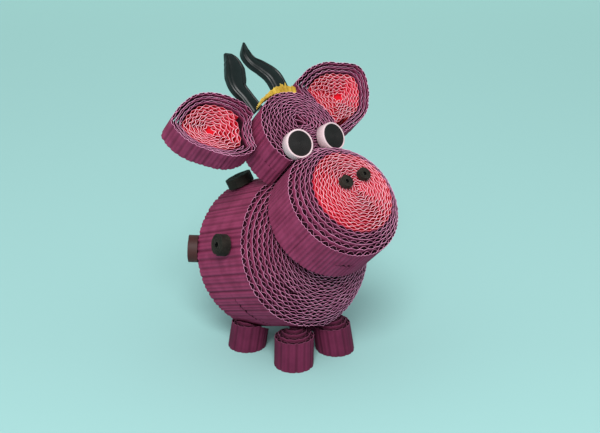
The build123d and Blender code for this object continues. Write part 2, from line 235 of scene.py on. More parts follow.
def spread(rows, rounding=0.06):
    """A reach through the given angles, all the way round, with its corners rounded off."""
    angles = np.radians([row[0] for row in rows])
    reaches = [row[1] for row in rows]

    def reach(angle):
        shifts = (-rounding, 0, rounding)
        turned = [np.interp(angle + shift, angles, reaches, period=TURN) for shift in shifts]
        return (turned[0] + turned[1] + turned[2]) / 3
    return reach


def pressed(reach, right, up, radius):
    """A reach that stops at a round neighbour, whose middle is given from the winding's."""
    def stopped(angle):
        near = right * np.cos(angle) + up * np.sin(angle)
        spare = near ** 2 - right ** 2 - up ** 2 + radius ** 2
        length = reach(angle)
        hollow = near - np.sqrt(np.maximum(spare, 0))
        return np.where((near > 0) & (spare > 0), np.minimum(length, hollow), length)
    return stopped


def wander(along, seed, size, length):
    """A smooth random drift along a strip."""
    draw = np.random.default_rng(seed)
    total = np.zeros_like(along)
    for share in wave_shares:
        wave = length * share * draw.uniform(*wave_spread)
        total += share * np.sin(TURN * (along / wave + draw.uniform()))
    return size * total / sum(wave_shares)


def body_room(points, direction, reach=25.0, tries=61):
    """How far each point can go along a direction before it enters the body's domes."""
    direction = np.array(direction) / np.linalg.norm(direction)
    steps = np.linspace(0, reach, tries)
    room = np.full(len(points), float(reach))
    for step in steps[::-1]:
        right, up, out = body_seam.local(points + step * direction)
        share = np.minimum(np.hypot(right, up) / body_radius, 1)
        inside = np.abs(out) < body_strip + body_rise * (1 - share ** body_power)
        inside &= np.hypot(right, up) < body_radius
        room = np.where(inside, step, room)
    return room


class Mesh:
    """Points and faces collected for one piece; edge faces get the second material. Each point
    also carries its painted shade, as a depth below the open end of its cell."""

    def __init__(self):
        self.points = []
        self.depths = []
        self.faces = []
        self.kinds = []
        self.count = 0

    def grid(self, rows, depths, kinds, flipped=False, closed=True):
        """Faces between rows of points, each row as long as the others. Between two rows
        whose kind is None there are no faces."""
        size = len(rows[0])
        self.points.append(np.concatenate(rows))
        self.depths.append(np.concatenate(depths))
        step = np.arange(size - 1)
        for row in range(len(rows) if closed else len(rows) - 1):
            if kinds[row] is None:
                continue
            near = self.count + row * size + step
            far = self.count + (row + 1) % len(rows) * size + step
            faces = np.stack([near, near + 1, far + 1, far], 1)
            self.faces += (faces[:, ::-1] if flipped else faces).tolist()
            self.kinds += [kinds[row]] * (size - 1)
        self.count += len(rows) * size

    def caps(self, rows, size, kind=1, corner_rows=None):
        """Flat ends for the grid that was added last."""
        picked = np.arange(rows) if corner_rows is None else np.array(corner_rows)
        corners = self.count - rows * size + picked * size
        self.faces += [corners.tolist(), (corners + size - 1)[::-1].tolist()]
        self.kinds += [kind] * 2

    def strip(self, plane, outer, inner, low, high, outside=0.0, inside=0.0, lit=False, edge=1,
              open_back=False):
        """A thin sheet on edge: its outer and inner lines, and its height at each point.
        outside and inside are the painted shade that each of its sides starts with, as a depth in a
        cell. Where nothing is wound over it, its outer side is lit, and outside is only its painted
        shade there. The back of an open coil shows the sheet's other edge."""
        size = len(outer)
        if size < 2:
            return
        deep = high - low
        under = np.where(lit, outside, outside + deep)
        if open_back:
            middle = (low + high) / 2
            under = np.where(lit, outside, outside + deep / 2)
            rows = [
                (outer, high, 0), (inner, high, 0), (inner, high, inside), (inner, middle, inside + deep / 2),
                (inner, low, inside), (inner, low, 0), (outer, low, 0), (outer, low, outside),
                (outer, middle, under), (outer, high, outside),
            ]
            kinds = (edge, None, 0, 0, None, edge, None, 0, 0, None)
            corners = (0, 1, 5, 6)
        else:
            rows = [
                (outer, high, 0), (inner, high, 0), (inner, high, inside), (inner, low, inside + deep),
                (outer, low, under), (outer, high, outside),
            ]
            kinds = (edge, None, 0, 0, 0, None)
            corners = (0, 1, 3, 4)
        points = [plane.point(line[:, 0], line[:, 1], level) for line, level, _ in rows]
        depths = [np.broadcast_to(np.asarray(depth, float), size) for _, _, depth in rows]
        self.grid(points, depths, kinds, plane.flipped)
        self.caps(len(rows), size, edge, corners)

    def lathe(self, plane, profile, kinds, sides=72, depth=0.0):
        """A round solid: radii and heights from the middle of its back to that of its front."""
        angles = np.linspace(0, TURN, sides + 1)
        rows = [
            plane.point(radius * np.cos(angles), radius * np.sin(angles), np.full_like(angles, out))
            for radius, out in profile
        ]
        self.grid(rows, [np.full(sides + 1, depth)] * len(rows), kinds, closed=False)

    def piece(self, name, materials, nodes, crisp=50):
        """The finished object, which rides on the body and stands for its nodes."""
        points = np.concatenate(self.points) * MM
        mesh = bpy.data.meshes.new(name)
        mesh.from_pydata(points.tolist(), [], self.faces)
        mesh.polygons.foreach_set("material_index", self.kinds)
        mesh.polygons.foreach_set("use_smooth", [True] * len(self.faces))
        # painted shade at each point, which darkens the paper's colour towards its shade colour
        depth = mesh.attributes.new("painted_shade_depth", "FLOAT", "POINT")
        depth.data.foreach_set("value", np.concatenate(self.depths))
        mesh.update()
        mesh.set_sharp_from_angle(angle=math.radians(crisp))
        for material in materials:
            mesh.materials.append(material)
        obj = bpy.data.objects.new(name, mesh)
        bpy.context.scene.collection.objects.link(obj)
        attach(obj, "root")
        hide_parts(*nodes)
        return obj


def inset(line, depth):
    """A line moved to its left by a depth, along its own normals."""
    ahead = np.gradient(line, axis=0)
    ahead /= np.maximum(np.linalg.norm(ahead, axis=1), 1e-9)[:, None]
    return line + np.stack([-ahead[:, 1], ahead[:, 0]], 1) * np.reshape(depth, (-1, 1))


class Winding:
    """A strip wound inwards from a rim, anticlockwise, as points by the length along it."""

    def __init__(self, reach, layer, edge, turns, start=0.0, begin=-90.0, limit=None):
        self.reach = reach
        self.limit = limit
        self.layer = layer
        self.edge = edge
        self.begin = math.radians(begin)
        self.wound = np.linspace(start, start + turns, int(winding_steps * turns) + 2)
        angle = self.place(self.wound)[0]
        radius = self.radius(self.wound)
        line = np.stack([radius * np.cos(angle), radius * np.sin(angle)], 1)
        steps = np.linalg.norm(np.diff(line, axis=0), axis=1)
        self.along = np.concatenate([[0], np.cumsum(steps)])
        self.length = self.along[-1]

    def place(self, wound):
        """The angle, the scale of the rim and the room for one layer after some turns."""
        angle = self.begin + TURN * wound
        return angle, 1 - wound * self.layer / self.edge, self.layer * self.reach(angle) / self.edge

    def radius(self, wound):
        """How far the strip's outer line lies from the middle after some turns. A limit
        presses the turns together a little, where they lie against a neighbour."""
        angle, scale, _ = self.place(wound)
        free = self.reach(angle) * scale
        if not self.limit:
            return free
        return np.minimum(free, self.limit(angle) - pressed_layer * self.layer * wound)

    def at(self, along):
        """The turns wound and the place at a length along the strip."""
        wound = np.interp(along, self.along, self.wound)
        return (wound, *self.place(wound))

    def line(self, along, depth):
        """Points of the strip, a depth in from its outer line."""
        wound, angle, _, _ = self.at(along)
        radius = self.radius(wound) - depth
        return np.stack([radius * np.cos(angle), radius * np.sin(angle)], 1)


def corrugated(mesh, plane, winding, level, seed, dents, swell=1.0, joints=(), spring=0.0,
               open_back=False, pull=flute_pull):
    """Corrugated strips, end to end along a winding, with the flutes inside the liner. level
    gives the low and high edges for the turns, the shares of the rim and the points; each
    strip sits a little differently. dents are the depths of the lines that the flutes leave
    on the outermost liner: where they are glued, and fainter between. joints are the turns
    at which a strip ends, and its end springs inwards."""
    draw = np.random.default_rng(seed)
    stops = [float(np.interp(joint, winding.wound, winding.along)) for joint in joints]
    while winding.length - (stops[-1] if stops else 0) > longest_strip * strip_length:
        stops.append((stops[-1] if stops else 0) + strip_length * draw.uniform(*strip_spread))
    stops.append(winding.length)
    outermost = float(np.interp(1.0, winding.wound, winding.along)) if winding.wound[0] < 1 else 0.0
    start = 0.0
    for end in stops:
        shift = draw.uniform(-strip_shift, strip_shift) if start else 0.0
        pitch = flute_pitch * draw.uniform(*pitch_spread) if start else flute_pitch
        last = end - end_gap
        fine = np.linspace(start, last, max(2, round((last - start) / pitch * flute_steps)))
        coarse = np.linspace(start, last, max(2, round((last - start) / liner_step)))
        backing = np.concatenate([fine[fine < outermost], coarse[coarse >= outermost]])
        for along, is_liner in ((fine, False), (backing, True)):
            wound, _, scale, room = winding.at(along)
            squeeze = 1 + wander(along, seed + 1, *squeeze_drift)
            height = np.maximum(room - liner_thick - flute_thick, least_flute) * squeeze * swell
            phase = TURN * (along - start) / pitch + wander(along, seed + 2, *phase_drift)
            valley = (1 - np.cos(phase)) / 2
            depth = spring * np.clip(1 - (last - along) / spring_length, 0, 1) ** 2
            outside = wound < 1
            glued = dents[0] * (1 + wander(along, seed + 4, *glued_drift)) * valley ** glued_power
            between = 1 + wander(along, seed + 5, *between_drift)
            between = dents[1] * between * (1 - valley) ** between_power
            pressed_in = inner_dent * room * valley ** inner_dent_power
            dented = np.where(outside, glued + between, pressed_in)
            depth += dented
            if not is_liner:
                depth += liner_thick + (height - dented) * (1 - valley ** flute_power)
            line = winding.line(along, depth)
            lift = shift + wander(along, seed + 3, *lift_drift)
            low, high = level(wound, scale, line, lift)
            layer_share = winding.layer / winding.edge
            if is_liner:
                # Painted shade on the liner's outer side: on the step below the next turn out's edge, and on
                # the outermost turn in the dents that the flutes leave
                next_out = level(wound - 1, scale + layer_share, line, lift)[1]
                step = np.clip(next_out - high + step_shade, fully_lit, step_darkest)
                shade_out = np.where(outside, dent_shade * dented, step)
                mesh.strip(plane, line, inset(line, liner_thick), low, high, shade_out, cell_shade,
                           outside, 1, open_back)
            else:
                # Painted shade on the flute: its outer side starts in full shade in its cell, its inner side
                # darkens below the next turn in's edge
                next_in = level(wound + 1, scale - layer_share, line, lift)[1]
                high = high + pull * (1 - valley) ** pull_power * (next_in - high)
                shade_in = np.clip(next_in - high, fully_lit, flute_darkest)
                mesh.strip(plane, line, inset(line, flute_thick), low, high, cell_shade, shade_in,
                           False, 2, open_back)
        start = end


def rolled(mesh, plane, radius, layer, hole, low, high, seed, thick=0.7, step=0.35, sunk=0.08):
    """A plain thin strip in a tight roll, its turns a little uneven. thick is the paper's share
    of a layer, step the length between points and sunk how far the roll's edge lies in."""
    winding = Winding(round_reach(radius), layer, radius, (radius - hole) / layer - thick)
    along = np.linspace(0, winding.length, int(winding.length / step))
    wound = winding.at(along)[0]
    outer = winding.line(along, 0.0)
    uneven = wander(along, seed, *roll_drift) - sunk
    # All but the outermost turn's outer side start in painted shade from the edge down
    mesh.strip(plane, outer, inset(outer, thick * layer), np.full_like(along, low), high + uneven,
               np.where(wound < 1, 0.0, cell_shade), cell_shade, wound < 1)
    # A disc half way down closes the middle, all in painted shade
    middle = (low + high) / 2
    core = hole + layer
    profile = [(0.0, low), (core, low), (core, middle), (0.0, middle)]
    mesh.lathe(plane, profile, [0] * 3, core_sides, shaded)


def dome(strip, rise, power, margin=0.15, slipped=0.0):
    """Levels of a coil that was pushed out into a dome; its outer turn reaches the seam, and
    its front edge may have slipped back a little."""
    def level(wound, scale, line, lift):
        scale = np.clip(scale, 0, 1)
        high = strip + rise * (1 - scale ** power) - margin + np.minimum(lift, margin)
        high -= slipped * scale ** slip_power
        low = np.where(wound < 1, seam_gap, high - strip)
        return np.maximum(low, seam_gap), high
    return level


def parted(level, start, end, gap, waves, wave_depth=0.7):
    """The same levels, with the outer turn off the seam between two angles, in waves."""
    def opened(wound, scale, line, lift):
        low, high = level(wound, scale, line, lift)
        angle = np.degrees(np.arctan2(line[:, 1], line[:, 0])) % 360
        share = np.clip((angle - start) / (end - start), 0, 1)
        ripple = 1 - wave_depth * np.sin(math.pi * waves * share) ** 2
        return low + gap * np.sin(math.pi * share) * ripple, high
    return opened


def stop_at_body(plane, level, direction, gap=0.1, least_high=0.3, least_strip=0.2):
    """The same levels, cut short where the strip would run into the body."""
    def cut(wound, scale, line, lift):
        low, high = level(wound, scale, line, lift)
        room = body_room(plane.point(line[:, 0], line[:, 1], 0.0), direction)
        high = np.minimum(high, np.maximum(room - gap, least_high))
        return np.minimum(low, high - least_strip), high
    return cut


def noise(nodes, links, place, scale, detail, stretch=(1, 1, 1)):
    """A noise texture in the object's own space, as wide as scale says, in millimetres."""
    mapping = nodes.new("ShaderNodeMapping")
    mapping.inputs["Scale"].default_value = [value / (scale * MM) for value in stretch]
    texture = nodes.new("ShaderNodeTexNoise")
    texture.inputs["Scale"].default_value = 1.0
    texture.inputs["Detail"].default_value = detail
    links.new(place, mapping.inputs["Vector"])
    links.new(mapping.outputs["Vector"], texture.inputs["Vector"])
    return texture.outputs["Fac"]


def mix(nodes, links, share, first, second):
    """A colour between two, each an output or a fixed colour."""
    node = nodes.new("ShaderNodeMix")
    node.data_type = "RGBA"
    links.new(share, node.inputs["Factor"])
    for value, socket in ((first, node.inputs["A"]), (second, node.inputs["B"])):
        if isinstance(value, bpy.types.NodeSocket):
            links.new(value, socket)
        else:
            socket.default_value = value
    return node.outputs["Result"]


def ramp(nodes, links, share, low, high):
    """The part of a value between two others, stretched to 0 to 1."""
    node = nodes.new("ShaderNodeMapRange")
    node.inputs["From Min"].default_value = low
    node.inputs["From Max"].default_value = high
    links.new(share, node.inputs["Value"])
    return node.outputs["Result"]


# The paper's clouds of colour, its fibres and its rubbed specks, in millimetres
cloud_size, fibre_size, speck_size = 5.0, 0.35, 0.22
fibre_stretch = (1.0, 1.0, 0.45)
fibre_height = 0.05


def paper(name, dark, light, speck, shade=None, rough=0.85, bump=0.35, shine=0.25):
    """Dyed paper: cloudy colour, fine fibres, a few pale specks where it is rubbed, and a
    painted shade colour down in the cells."""
    material = bpy.data.materials.new(name)
    material.use_nodes = True
    nodes, links = material.node_tree.nodes, material.node_tree.links
    shader = nodes["Principled BSDF"]
    place = nodes.new("ShaderNodeTexCoord").outputs["Object"]
    clouds = noise(nodes, links, place, cloud_size, detail=3.0)
    fibres = noise(nodes, links, place, fibre_size, detail=4.0, stretch=fibre_stretch)
    specks = noise(nodes, links, place, speck_size, detail=2.0)
    colour = mix(nodes, links, ramp(nodes, links, clouds, low=0.35, high=0.65), dark, light)
    colour = mix(nodes, links, ramp(nodes, links, specks, low=0.66, high=0.8), colour, speck)
    # Painted shade: the colour turns to the shade colour with the painted-shade depth at each point
    if shade:
        depth = nodes.new("ShaderNodeAttribute")
        depth.attribute_name = "painted_shade_depth"
        share = ramp(nodes, links, depth.outputs["Fac"], low=0.0, high=shaded)
        colour = mix(nodes, links, share, colour, shade)
    links.new(colour, shader.inputs["Base Color"])
    lumps = nodes.new("ShaderNodeBump")
    lumps.inputs["Strength"].default_value = bump
    lumps.inputs["Distance"].default_value = fibre_height * MM
    links.new(fibres, lumps.inputs["Height"])
    links.new(lumps.outputs["Normal"], shader.inputs["Normal"])
    shader.inputs["Roughness"].default_value = rough
    shader.inputs["Specular IOR Level"].default_value = shine
    return material


# The fourth colour of each wall paper is its painted shade, for the cells and the steps between turns
purple = [
    paper("purple_wall", srgb(130, 43, 77), srgb(148, 54, 91), srgb(164, 88, 121), srgb(50, 1, 24)),
    paper("purple_edge", srgb(208, 132, 170), srgb(238, 168, 202), srgb(246, 206, 226)),
    paper("purple_flute", srgb(170, 92, 128), srgb(196, 116, 152), srgb(210, 140, 170)),
]
# The purple papers darker for the feet: painted shade, for the body's shadow over them
foot_purple_painted_shade = [
    paper("foot_wall", srgb(90, 24, 54), srgb(102, 30, 62), srgb(120, 60, 84), srgb(38, 1, 18)),
    paper("foot_edge", srgb(150, 80, 112), srgb(176, 104, 138), srgb(200, 140, 168)),
    paper("foot_flute", srgb(110, 48, 76), srgb(130, 64, 94), srgb(150, 90, 116)),
]
pink = [
    paper("pink_wall", srgb(238, 48, 76), srgb(250, 76, 100), srgb(252, 130, 146), srgb(206, 8, 32)),
    paper("pink_edge", srgb(255, 124, 146), srgb(255, 156, 176), srgb(255, 200, 212)),
    paper("pink_flute", srgb(255, 176, 193), srgb(255, 212, 224), srgb(255, 234, 240)),
]
black = [
    paper("black_wall", srgb(22, 18, 15), srgb(48, 42, 36), srgb(120, 112, 96), srgb(6, 5, 5), 0.7, 0.9, 0.2),
    paper("black_edge", srgb(30, 26, 23), srgb(52, 46, 40), srgb(124, 116, 100), None, 0.75, 0.9, 0.15),
]
horn_black = [
    paper("horn_sheet", srgb(8, 7, 8), srgb(17, 15, 17), srgb(48, 45, 47), None, 0.38, 0.2, 0.32),
]
brown = [
    paper("brown_wall", srgb(58, 18, 16), srgb(72, 25, 22), srgb(96, 58, 54), srgb(8, 5, 5), 0.6, 0.25, 0.4),
    paper("brown_edge", srgb(44, 36, 34), srgb(58, 48, 45), srgb(90, 80, 76), None, 0.6),
]
white = [
    paper("white_roll", srgb(212, 184, 188), srgb(224, 198, 202), srgb(240, 226, 228), None, 0.6, 0.2),
]
pupil_black = [
    paper("pupil_disc", srgb(25, 20, 20), srgb(32, 26, 26), srgb(46, 40, 40), None, 0.6, 0.2, 0.2),
]
yellow = [
    paper("yellow_wall", srgb(160, 124, 34), srgb(206, 174, 66), srgb(240, 226, 140), None, 0.7, 0.9),
    paper("yellow_edge", srgb(228, 206, 96), srgb(246, 230, 136), srgb(252, 246, 190), None, 0.7),
]

# Body: the flutes of the two coils meet as one at the seam, which gapes a little below. Each coil
# has the turns at which one of its strips ends.
body_turns = body_radius / turn - core_turns
for name, plane, joints in (
    ("body_front_coil", body_seam, (6.86, 13.4, 19.2)),
    ("body_rear_coil", body_seam.mirrored(), (3.3, 10.7, 17.9)),
):
    mesh = Mesh()
    winding = Winding(round_reach(body_radius), turn, body_radius, body_turns)
    body_dome = dome(body_strip, body_rise, body_power)
    level = parted(body_dome, start=200, end=248, gap=0.5, waves=8)
    corrugated(mesh, plane, winding, level, seed=11, dents=(0.44, 0.2), joints=joints, spring=0.8)
    mesh.piece(name + "_paper", purple, [name])

# Head: open in the middle, where the strip's end is bent across
free_reach = raised_reach(head_radius, head_winding_up)
head_reach = pressed(free_reach, muzzle_aside, -muzzle_drop - head_winding_up, muzzle_radius + clearance)
head_edge = head_radius - head_winding_up
head_turns = (head_edge - head_opening) / turn
head_end_foot, head_end_sunk = 3.0, 0.4
head_end_bends = (
    ((-0.2, 2.4), (0.5, 0.7), (1.2, -1.2)),
    ((-2.2, 0.8), (-0.6, 0.1), (1.0, -1.3)),
)
for name, plane, seed in (
    ("head_front_coil", head_seam, 31),
    ("head_rear_coil", head_seam.mirrored(), 37),
):
    mesh = Mesh()
    winding = Winding(head_reach, turn, head_edge, head_turns, begin=-115.0)
    level = dome(head_strip, head_rise, head_power)
    if plane.flipped:
        level = stop_at_body(plane, level, plane.z)
    corrugated(mesh, plane, winding, level, seed, dents=(0.42, 0.22))
    top = head_strip + head_rise - head_end_sunk
    for bend in head_end_bends:
        line = np.array(bend)
        low, high = np.full(len(line), head_end_foot), np.full(len(line), top)
        mesh.strip(plane, line, inset(line, liner_thick), low, high)
    mesh.piece(name + "_paper", purple, [name])

# Muzzle: purple turns, the pink coil inside them, and the second purple strip behind
muzzle_reach = round_reach(muzzle_radius)
pink_turns = muzzle_radius / turn - muzzle_purple_turns - core_turns
muzzle_dome = dome(muzzle_strip, muzzle_rise, muzzle_power, margin=0.3, slipped=0.9)
muzzle_front = parted(muzzle_dome, start=241, end=263, gap=1.0, waves=3)
muzzle_back = muzzle_seam.mirrored()
flat = dome(muzzle_strip, rise=0.0, power=1.0)
for name, plane, level, turns, start, paper_kind, slot, seed in (
    ("muzzle_front_coil", muzzle_seam, muzzle_front, muzzle_purple_turns, 0, purple, "purple", 41),
    ("muzzle_face_coil", muzzle_seam, muzzle_dome, pink_turns, muzzle_purple_turns, pink, "pink", 43),
    ("muzzle_rear_coil", muzzle_back, stop_at_body(muzzle_back, flat, muzzle_back.z),
     muzzle_purple_turns, 0, purple, "purple", 41),
):
    mesh = Mesh()
    winding = Winding(muzzle_reach, turn, muzzle_radius, turns, start, begin=80.0)
    corrugated(mesh, plane, winding, level, seed, dents=(0.3, 0.26))
    mesh.piece(name + "_paper", paper_kind, [name])


# Ears: loose purple turns that sink in steps, and the pink coil sunk inside them
def dish(scale_from, scale_to, base_high, sunk, foot=0.1, margin=0.15, loose=0.5):
    """Levels that sink by an amount from one share of the rim to another. loose is the share
    of a strip's drift that is kept."""
    def level(wound, scale, line, lift):
        share = np.clip((scale_from - scale) / (scale_from - scale_to), 0, 1)
        high = base_high - sunk * share - margin + loose * lift
        return np.full_like(high, foot), high
    return level


pink_sunk, pink_inset = 0.2, 0.15      # below the purple turns, and turns in from them
pink_core = 2.0                        # the radius that the pink strip leaves open
# A floor in the pink coil's open middle, in full painted shade
ear_floor_radius, ear_floor_low, ear_floor_high = 3.0, 3.0, 5.0
ear_floor = [
    (0.0, ear_floor_low), (ear_floor_radius, ear_floor_low),
    (ear_floor_radius, ear_floor_high), (0.0, ear_floor_high),
]
for name, (turned, beside, back, rows, begin) in ears.items():
    way = math.radians(turned)
    across, above = ((head_radius + beside) * part for part in (math.cos(way), math.sin(way)))
    plane = head_rim.moved(across, above, -back - ear_strip)
    reach = spread(rows)
    limit = pressed(reach, -across, -above, head_radius + clearance)
    pink_scale = 1 - ear_purple_turns * turn / ear_width
    sunk = ear_purple_turns * ear_step
    mesh = Mesh()
    winding = Winding(reach, turn, ear_width, ear_purple_turns, begin=begin, limit=limit)
    level = dish(1.0, pink_scale, ear_strip, sunk)
    corrugated(mesh, plane, winding, level, seed=53 + len(name), dents=(0.36, 0.15), swell=0.55,
               open_back=True)
    mesh.piece(f"ear_{name}_outer_paper", purple, [f"ear_{name}_outer"])
    mesh = Mesh()
    turns = (ear_width * pink_scale - pink_core) / turn
    winding = Winding(reach, turn, ear_width, turns, ear_purple_turns + pink_inset, begin, limit)
    level = dish(pink_scale, 0.0, ear_strip - sunk - pink_sunk, ear_pink_steps * ear_step)
    corrugated(mesh, plane, winding, level, seed=61 + len(name), dents=(0.0, 0.0), open_back=True)
    # the floor, all in painted shade
    mesh.lathe(plane, ear_floor, [0] * 3, core_sides, depth=shaded)
    mesh.piece(f"ear_{name}_inner_paper", pink, [f"ear_{name}_inner"])


# Horns: a black sheet rolled flat, with the ridges of its turns along it
def smooth_path(rows, count):
    """A smooth curve through points or values, evenly sampled from one row to the next."""
    rows = np.array(rows, float).reshape(len(rows), -1)
    slopes = np.gradient(rows, axis=0)
    place = np.linspace(0, len(rows) - 1, count)
    low = np.minimum(place.astype(int), len(rows) - 2)
    part = (place - low)[:, None]
    first, second = rows[low], rows[low + 1]
    bend = (2 * part ** 3 - 3 * part ** 2 + 1) * first + (3 * part ** 2 - 2 * part ** 3) * second
    lean = (part ** 3 - 2 * part ** 2 + part) * slopes[low] + (part ** 3 - part ** 2) * slopes[low + 1]
    return bend + lean


horn_plane = head_rim.moved(up=head_radius, out=-horn_back - horn_strip / 2)
horn_steps, horn_sides = 70, 96
ridges, ridge_power, ridge_depth = 5, 0.5, 0.5
horn_square, horn_flat = 0.35, 0.3      # powers that square off its section
full_width, least_share = 1.6, 0.12     # narrower than this, it is thinner too
for name, (wider, spine, widths) in horns.items():
    path = smooth_path(spine, horn_steps)
    stations = np.linspace(0, len(widths) - 1, horn_steps)
    width = wider * np.interp(stations, np.arange(len(widths)), widths)
    ahead = np.gradient(path, axis=0)
    ahead /= np.linalg.norm(ahead, axis=1)[:, None]
    beside = np.stack([-ahead[:, 1], ahead[:, 0]], 1)
    ring = np.linspace(0, TURN, horn_sides + 1)[:-1]
    shares = np.sign(np.cos(ring)) * np.abs(np.cos(ring)) ** horn_square
    rows = []
    for share, angle in zip(shares, ring):
        groove = abs(math.sin(math.pi * ridges * (share + 1) / 2)) ** ridge_power - 1
        ridge = 1 + ridge_depth * groove * (1 - share ** 6)
        half = horn_strip / 2 * abs(math.sin(angle)) ** horn_flat * ridge
        half *= np.clip(width / full_width, least_share, 1)
        spot_line = path + beside * width[:, None] * share
        offset = spot_line + (0, head_radius)
        distance = np.hypot(*offset.T)
        pushed = np.maximum(head_radius + clearance / distance, distance) / distance
        spot_line = offset * pushed[:, None] - (0, head_radius)
        side = 1 if math.sin(angle) >= 0 else -1
        rows.append(horn_plane.point(spot_line[:, 0], spot_line[:, 1], side * half))
    mesh = Mesh()
    mesh.grid(rows, [np.zeros(horn_steps)] * len(rows), [0] * len(rows))
    mesh.caps(len(rows), horn_steps, 0)
    mesh.piece(name + "_sheet", horn_black, [name], crisp=70)

# Hair: crumpled yellow ribbons side by side, each from the head's rim up to a ragged top
ribbons, ribbon_thick, ribbon_edge, ribbon_room = 5, 0.16, 0.55, 1.1
hair_steps = 46
hair_zigzag = (-0.42, 0.1, 0.45, -0.05)
zigzag_drift, zigzag_limit, angle_drift = 0.2, 0.5, 0.012
shortest, tallest, even_ribbons = 0.45, 1.02, 0.88
draw = np.random.default_rng(83)
hair_angles = np.radians([row[0] for row in hair_outline])
hair_heights = [row[1] for row in hair_outline]
mesh = Mesh()
for ribbon in range(ribbons):
    angles = np.radians(np.linspace(hair_outline[0][0], hair_outline[-1][0], hair_steps))
    angles[1:-1] += draw.uniform(-angle_drift, angle_drift, hair_steps - 2)
    zigzag = np.resize(hair_zigzag, hair_steps)
    zigzag = zigzag + draw.uniform(-zigzag_drift, zigzag_drift, hair_steps)
    middle = -hair_back - ribbon_edge - ribbon * (hair_strip - ribbon_room) / (ribbons - 1)
    tall = np.interp(angles, hair_angles, hair_heights)
    ragged = draw.uniform(shortest, tallest, hair_steps) * (1.0 if ribbon % 2 else even_ribbons)
    top = head_radius + tall * ragged
    foot = np.full(hair_steps, head_radius + clearance)
    rows = []
    for reach, aside in ((foot, 0.0), (0.5 * (top + foot), 0.3), (top, -0.15)):
        lean = zigzag + aside * draw.uniform(-1, 1, hair_steps)
        rows.append((reach, middle + np.clip(lean, -zigzag_limit, zigzag_limit)))
    sheet = [
        head_rim.point(reach * np.cos(angles), reach * np.sin(angles), out + side * ribbon_thick / 2)
        for side, order in ((1, rows), (-1, rows[::-1]))
        for reach, out in order
    ]
    mesh.grid(sheet, [np.zeros(hair_steps)] * len(sheet), (0, 0, 1, 0, 0, 1))
    mesh.caps(len(sheet), hair_steps)
mesh.piece("hair_tuft_ribbons", yellow, ["hair_tuft"], crisp=25)

# Eyes and nostrils. The rims are rounded through points that lie so far in from the side and so
# far below the top.
eye_bevel = 0.1
eye_outer_rim = ((0.0, 0.18), (0.06, 0.05), (0.17, 0.0))
eye_inner_rim = ((0.14, 0.0), (0.03, 0.06), (0.0, 0.18))
disc_rim = ((0.0, 0.2), (0.07, 0.07), (0.2, 0.0))
first_groove, last_groove, groove_pitch = 0.6, 0.4, 0.45
groove_half, groove_depth = 0.06, 0.05
nostril_layer = 0.42
for name, side in (("right", -1), ("left", 1)):
    down, aside = math.radians(eye_tilt_down), math.radians(eye_turn_out)
    normal = (side * math.sin(aside) * math.cos(down), -math.sin(down), math.cos(aside) * math.cos(down))
    across = (1, 0, -side * math.sin(aside))
    plane = head_rim.looking(side * eye_apart, -eye_down, eye_lift, normal, across)
    mesh = Mesh()
    rim = eye_radius - eye_wall
    seat = eye_depth - eye_recess
    profile = [(0.0, 0.0), (eye_radius - eye_bevel, 0.0), (eye_radius, eye_bevel)]
    profile += [(eye_radius - inwards, eye_depth - below) for inwards, below in eye_outer_rim]
    profile += [(rim + inwards, eye_depth - below) for inwards, below in eye_inner_rim]
    profile += [(rim, seat), (0.0, seat)]
    mesh.lathe(plane, profile, [0] * (len(profile) - 1))
    mesh.piece(f"eye_{name}_roll", white, [f"eye_{name}"])
    mesh = Mesh()
    disc = rim - clearance
    face = eye_depth + eye_proud
    profile = [(0.0, seat), (disc, seat)]
    profile += [(disc - inwards, face - below) for inwards, below in disc_rim]
    for groove in np.arange(disc - first_groove, last_groove, -groove_pitch):
        outer, inner = groove + groove_half, groove - groove_half
        profile += [(outer, face), (groove, face - groove_depth), (inner, face)]
    profile.append((0.0, face))
    mesh.lathe(plane, profile, [0] * (len(profile) - 1))
    mesh.piece(f"pupil_{name}_disc", pupil_black, [f"pupil_{name}"])
    mesh = Mesh()
    plane = muzzle_rim.moved(side * nostril_apart, nostril_ups[name], muzzle_rise)
    rolled(mesh, plane, nostril_radius, nostril_layer, nostril_hole, low=0.0, high=nostril_height,
           seed=89 + side)
    mesh.piece(f"nostril_{name}_roll", black, [f"nostril_{name}"])

# Feet: the strip rises towards the middle, leans outwards and stops below the body
foot_gap = 0.1
for name, (across, back) in feet.items():
    side = 1 if across > 0 else -1
    toward = -1 if back > 0 else 1
    lean = foot_lean / math.sqrt(2)
    direction = np.array((-side * lean, toward * lean, 1.0))
    plane = Plane((body_aside + across, body_back + back, 0), (1, 0, 0), (0, 0, 1))
    mesh = Mesh()
    foot_turns = foot_radius / turn - core_turns
    winding = Winding(round_reach(foot_radius), turn, foot_radius, foot_turns, begin=52.0)

    def level(wound, scale, line, lift):
        rise = foot_rise / turn * foot_radius * (1 - scale)
        room = body_room(plane.point(line[:, 0], line[:, 1], 0.0), direction)
        return np.full_like(scale, seam_gap), np.minimum(foot_wall + rise + lift, room - foot_gap)

    seed = 71 + len(name) + side
    corrugated(mesh, plane, winding, level, seed, dents=(0.32, 0.1), pull=0.15)
    for points in mesh.points:
        points[:, :2] += points[:, 2:] * direction[:2]
    mesh.piece(name + "_paper", foot_purple_painted_shade, [name])


# Spots
def wall_plane(along, angle):
    """A plane on the body's side wall, looking outwards."""
    turned = math.radians(angle)
    outward = (math.cos(turned), math.sin(turned), 0)
    return body_seam.looking(body_radius * outward[0], body_radius * outward[1], along, outward, (0, 0, 1))


